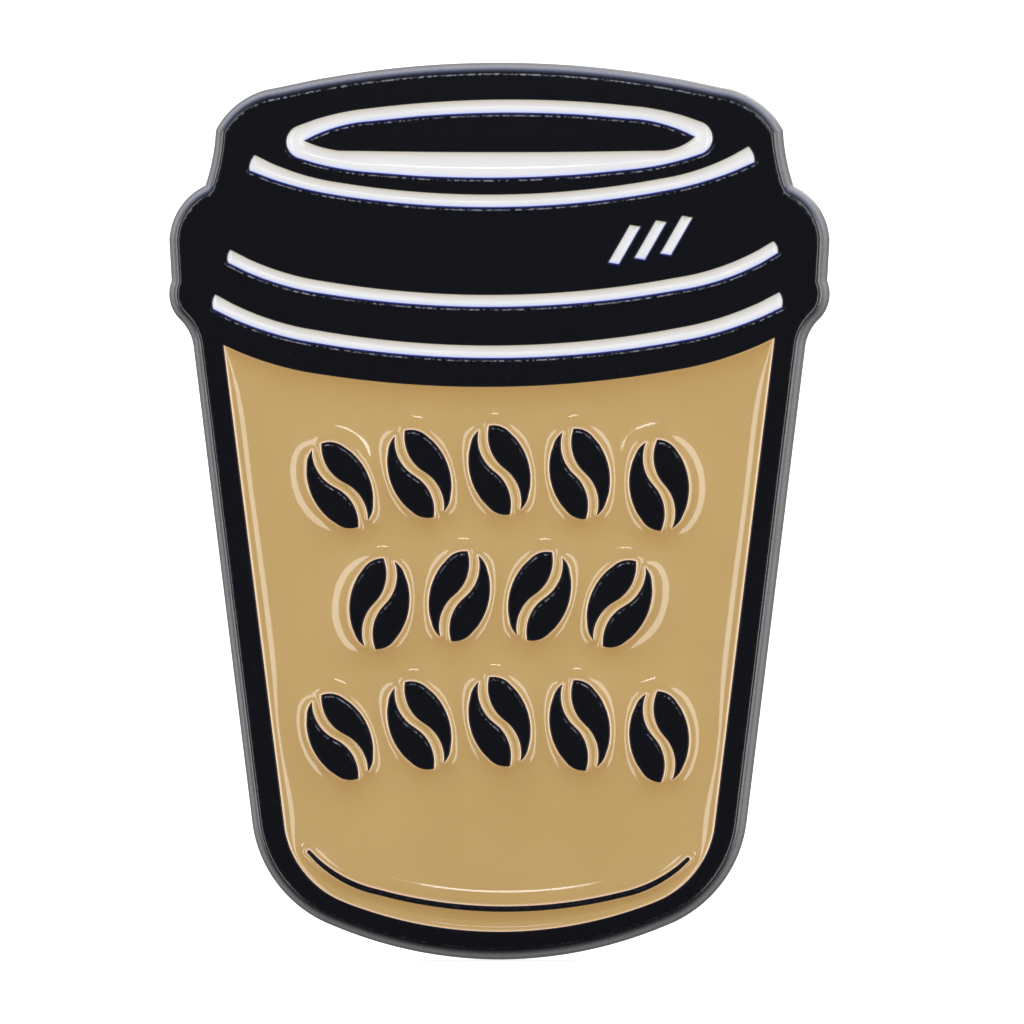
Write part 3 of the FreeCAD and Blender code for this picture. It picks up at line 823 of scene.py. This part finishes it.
def dish(end, z):
    """Pressed dish: funnel, stamped rings and dimples underneath, rim rolled in over the cover."""
    piece = Build()
    floor = [(4.55, 0.0), (4.2, 0.0), (4.0, 0.0), (3.9, 0.05), (3.8, 0.06), (3.7, 0.05),
             (3.6, 0.0), (3.2, 0.0), (2.8, 0.0), (2.4, 0.0), (1.95, 0.0)]
    outline = rounded([
        (0.70, 0.70, 0.04), (1.75, 0.0, 0.25), *((r, y, 0) for r, y in reversed(floor)),
        (4.95, 0.0, 0.3), (5.48, 0.16, 0.3), (5.70, 0.66, 0.25), (5.70, 1.40, 0.15),
        (5.62, 1.66, 0.12), (5.32, 1.75, 0.1), (4.75, 1.75, 0.11), (4.75, 1.50, 0.11),
        (5.25, 1.50, 0.05), (5.40, 1.35, 0.05), (5.40, 0.76, 0.2), (5.24, 0.40, 0.1),
        (4.90, 0.30, 0.1), (4.0, 0.30, 0), (3.0, 0.30, 0), (1.90, 0.30, 0.2), (0.92, 0.93, 0.04),
        (0.70, 0.93, 0.04),
    ], 0.05)

    def dimples(angle, radius, y):
        if y < 0.2 and 2.2 < radius < 3.4:
            turn = (angle % (math.pi / 2)) - math.pi / 4
            y += 0.09 * hump(math.hypot(turn * radius, radius - 2.8), 0, 0.32)
        return radius, y

    piece.turn(outline, (0, GAP, z), TURNS, shift=dimples)
    piece.make(f"{end}_dish", [BRASS], f"{end}_clutch", [f"{end}_clutch_dish"])


def cover(end, z):
    """Domed cover: rounded crown pierced by the post hole and two slots, and a flange."""
    piece = Build()
    node = f"{end}_clutch_cover"
    top = GAP + TOP
    openings = flat_loops(node, top)[1:]
    angles = np.arange(TURNS) * (2 * math.pi / TURNS)
    circle = np.stack([np.cos(angles), np.sin(angles)], 1)
    for radius, height, front in ((CROWN, top, False), (CROWN_INSIDE, top - SHEET, True)):
        loops = [circle * radius + (0, z), *openings]
        region = Area(loops, [CROWN_LIP, 0.12, 0.25], 0.16, 0.5)
        far, _ = walls_near(loops, region.points)
        lip = CROWN_LIP * (1 - np.sqrt(1 - np.clip(1 - far / CROWN_LIP, 0, 1) ** 2))
        piece.sheet(region, -height if front else height - lip, front=front)
    for run in region.runs[1:]:
        piece.wall(run, -(top - SHEET), -(top - CROWN_LIP))
    outer = rounded([
        (CROWN_INSIDE, TOP - SHEET, 0), (4.02, 1.20, 0.15), (5.30, 1.20, 0.08),
        (5.30, 1.45, 0.08), (4.20, 1.45, 0.25), (3.68, TOP - 0.10, 0.12),
        (CROWN, TOP - CROWN_LIP, 0),
    ], 0.05)
    piece.turn(outer, (0, GAP, z), TURNS, closed=False)
    piece.make(f"{end}_cap", [BRASS], f"{end}_swivel", [node])


def wing_line(steps=64):
    """Middle of the bent strip as evenly spaced (x, y), from the jaw to the finger end."""
    corners = rounded([
        (JAW_END, 1.75, 0), (1.95, 1.75, 0.30), (1.95, 3.40, 1.1), (2.10, 4.45, 0.8),
        (3.02, 5.77, 0),
    ], 0.3, 10)
    line = np.array(corners)
    length = np.concatenate([[0], np.cumsum(np.linalg.norm(np.diff(line, axis=0), axis=1))])
    at = np.linspace(0, length[-1], steps)
    return np.stack([np.interp(at, length, line[:, k]) for k in (0, 1)], 1)


def half_wide(y):
    """Half-width of the strip by height: jaw, neck, flare, and a rounded finger end."""
    heights = (0, 1.90, 2.12, 2.95, 3.15, 3.42, 3.62, 3.80, 4.90, 5.20, 5.45, 5.62, 5.74, 5.80)
    halves = (1.20, 1.20, 1.55, 1.55, 1.68, 2.10, 2.90, 3.56, 3.60, 3.56, 3.40, 3.12, 2.72, 2.30)
    return float(np.interp(y, heights, halves))


def wing(end, side, z):
    """Springy strip with its jaw bitten round the post and grip ridges on its finger end."""
    line = wing_line()
    ahead = np.gradient(line, axis=0)
    ahead /= np.linalg.norm(ahead, axis=1)[:, None]
    out = np.stack([ahead[:, 1], -ahead[:, 0]], 1)
    across = np.sin(np.linspace(-math.pi / 2, math.pi / 2, 25))
    sections = []
    for k, (x, y) in enumerate(line):
        wide = half_wide(y) if x > JAW_LONG else JAW_HALF
        thick = STRIP_HALF
        if k in (0, len(line) - 1):
            thick = STRIP_END
            wide -= STRIP_HALF - STRIP_END
        rows = []
        for face in (1, -1):
            for share in across * face:
                high = math.sqrt(max(0.0, 1 - abs(share) ** 14)) * thick
                ridges = sum(hump(y, 4.30 + 0.30 * n, 0.07) for n in range(RIDGES))
                raised = 0.06 * ridges * hump(share, 0, 0.62) if y > 3.9 else 0
                shift = face * high + raised
                px, py = x + out[k][0] * shift, y + out[k][1] * shift
                if x < JAW_LONG:
                    bite = math.sqrt(max(BITE**2 - (share * wide) ** 2, 0))
                    start = max(JAW_END, bite)
                    px = start + (px - JAW_END) * (JAW_LONG - start) / (JAW_LONG - JAW_END)
                rows.append((side * px, GAP + py, z + side * share * wide))
        sections.append(rows)
    piece = Build()
    piece.loft(sections)
    label = "right" if side > 0 else "left"
    node = f"{end}_wing_{label}"
    piece.make(f"{end}_{label}_wing", [BRASS], f"{end}_{label}_grip", [node], 50)


# ------------------------------------------------------------------------------------------
# Scene
# ------------------------------------------------------------------------------------------


# Lengths in metres, but for the camera's sensor.
SWEEP_LOW = -0.01592     # floor of the sweep, just under the pin
SWEEP_HALF = 6.0         # half its width, and how far it runs towards the viewer
SWEEP_BACK = 0.55        # where it starts to turn up
SWEEP_TURN = 0.2         # radius of the turn
SWEEP_HIGH = 3.0         # top of its back
EYE = (0.000443, -0.45, -0.000035)     # the camera, square to the face
SENSOR = 36.0            # its sensor's width, in millimetres
VIEW_WIDE = 0.03629      # width of the picture at the middle of the plate
PLATE_MIDDLE = 0.0008
COOL, WARM = (0.98, 0.99, 1.0), (1.0, 0.99, 0.97)     # colours of the side lamps


def lamp(name, place, size, power, colour=(1, 1, 1)):
    """A soft rectangular light aimed at the origin; lengths in metres."""
    data = bpy.data.lights.new(name, "AREA")
    data.shape = "RECTANGLE"
    data.size, data.size_y = size
    data.energy = power
    data.color = colour
    obj = bpy.data.objects.new(name, data)
    bpy.context.scene.collection.objects.link(obj)
    obj.visible_camera = False
    obj.location = place
    obj.rotation_euler = (Vector((0, 0, 0)) - Vector(place)).to_track_quat("-Z", "Y").to_euler()


def studio():
    """Pale sweep, soft lights and the camera."""
    scene = bpy.context.scene
    profile = [(-SWEEP_HALF, SWEEP_LOW), (SWEEP_BACK, SWEEP_LOW)]
    profile += [
        (SWEEP_BACK + SWEEP_TURN * math.sin(a), SWEEP_LOW + SWEEP_TURN - SWEEP_TURN * math.cos(a))
        for a in np.linspace(0.05, math.pi / 2, 16)
    ]
    profile += [(SWEEP_BACK + SWEEP_TURN, SWEEP_HIGH)]
    points = [(x, y, z) for y, z in profile for x in (-SWEEP_HALF, SWEEP_HALF)]
    faces = [(2 * k, 2 * k + 1, 2 * k + 3, 2 * k + 2) for k in range(len(profile) - 1)]
    mesh = bpy.data.meshes.new("sweep")
    mesh.from_pydata(points, [], faces)
    mesh.shade_smooth()
    sweep = bpy.data.objects.new("sweep", mesh)
    scene.collection.objects.link(sweep)
    mesh.materials.append(pale("paper", (0.55, 0.55, 0.55), 0.78))
    sweep.visible_glossy = False

    world = bpy.data.worlds.new("studio")
    scene.world = world
    world.use_nodes = True
    nodes, links = world.node_tree.nodes, world.node_tree.links
    place = nodes.new("ShaderNodeTexCoord")
    split = nodes.new("ShaderNodeSeparateXYZ")
    links.new(place.outputs["Generated"], split.inputs[0])

    def ramp(axis, low, high, out_low, out_high, kind="SMOOTHSTEP"):
        made = nodes.new("ShaderNodeMapRange")
        made.interpolation_type = kind
        links.new(split.outputs[axis], made.inputs["Value"])
        for name, number in (("From Min", low), ("From Max", high), ("To Min", out_low),
                             ("To Max", out_high)):
            made.inputs[name].default_value = number
        return made.outputs[0]

    def mixed(factor, a, b):
        made = nodes.new("ShaderNodeMix")
        made.data_type = "RGBA"
        links.new(factor, made.inputs[0])
        for socket, colour in ((made.inputs[6], a), (made.inputs[7], b)):
            if isinstance(colour, tuple):
                socket.default_value = (*colour, 1.0)
            else:
                links.new(colour, socket)
        return made.outputs[2]

    def product(a, b):
        made = nodes.new("ShaderNodeMath")
        made.operation = "MULTIPLY"
        links.new(a, made.inputs[0])
        links.new(b, made.inputs[1])
        return made.outputs[0]

    # A light tent that is dark behind the camera, so that level metal reads black.
    tent = ramp("Y", -0.985, -0.40, 0.012, 1.0, "LINEAR")
    sky = mixed(ramp("Y", -0.90, 0.1, 0.0, 1.0), (0.50, 0.60, 1.12), (0.98, 0.98, 1.0))
    ground = mixed(tent, (0.9, 0.9, 1.0), (1.0, 0.98, 0.96))
    belt = product(ramp("Y", -0.50, -0.10, 1.0, 1.30), ramp("Y", 0.05, 0.40, 1.0, 0.42))
    bright = product(product(tent, belt), ramp("Z", -1.0, 1.0, 0.62, 1.90))
    colour = mixed(ramp("Z", 0.0, 0.7, 0.0, 1.0), ground, sky)
    links.new(colour, nodes["Background"].inputs["Color"])
    links.new(bright, nodes["Background"].inputs["Strength"])

    # The near pair lights the struck edge from the front; the far pair, lower on its curve.
    for prefix, (x, y, z), size, power in (
        ("", (0.105, -0.50, 0.01), (0.044, 0.26), 0.188),
        ("far_", (0.30, -0.40, 0.02), (0.12, 0.26), 0.29),
    ):
        lamp(prefix + "left", (-x, y, z), size, power, COOL)
        lamp(prefix + "right", (x, y, z), size, power, WARM)
    lamp("top", (0.0, -0.50, 0.061), (0.020, 0.008), 0.007)
    lamp("back", (0.25, 0.45, 0.40), (0.35, 0.30), 1.2)

    data = bpy.data.cameras.new("camera")
    camera = bpy.data.objects.new("camera", data)
    scene.collection.objects.link(camera)
    scene.camera = camera
    camera.location = EYE
    camera.rotation_euler = (math.pi / 2, 0, 0)
    data.sensor_width = SENSOR
    data.lens = SENSOR * (-EYE[1] - PLATE_MIDDLE) / VIEW_WIDE
    data.clip_start, data.clip_end = 0.01, 20.0
    scene.view_settings.view_transform = "Standard"
    scene.view_settings.look = "None"


plate()
pool("cup_enamel", TAN, reach=0.60, rise=0.125, spread=0.42, hang=0.55,
     rings=WIDE_RINGS, grid=0.5)
for name in WHITE_NODES:
    pool(name, WHITE, reach=0.35, rise=0.08, spread=0.14, hang=0.10,
         rings=NARROW_RINGS, grid=0.2)
for end, z in (("upper", POST_HIGH), ("lower", -POST_HIGH)):
    post(end, z)
    dish(end, z)
    cover(end, z)
    wing(end, 1, z)
    wing(end, -1, z)
studio()
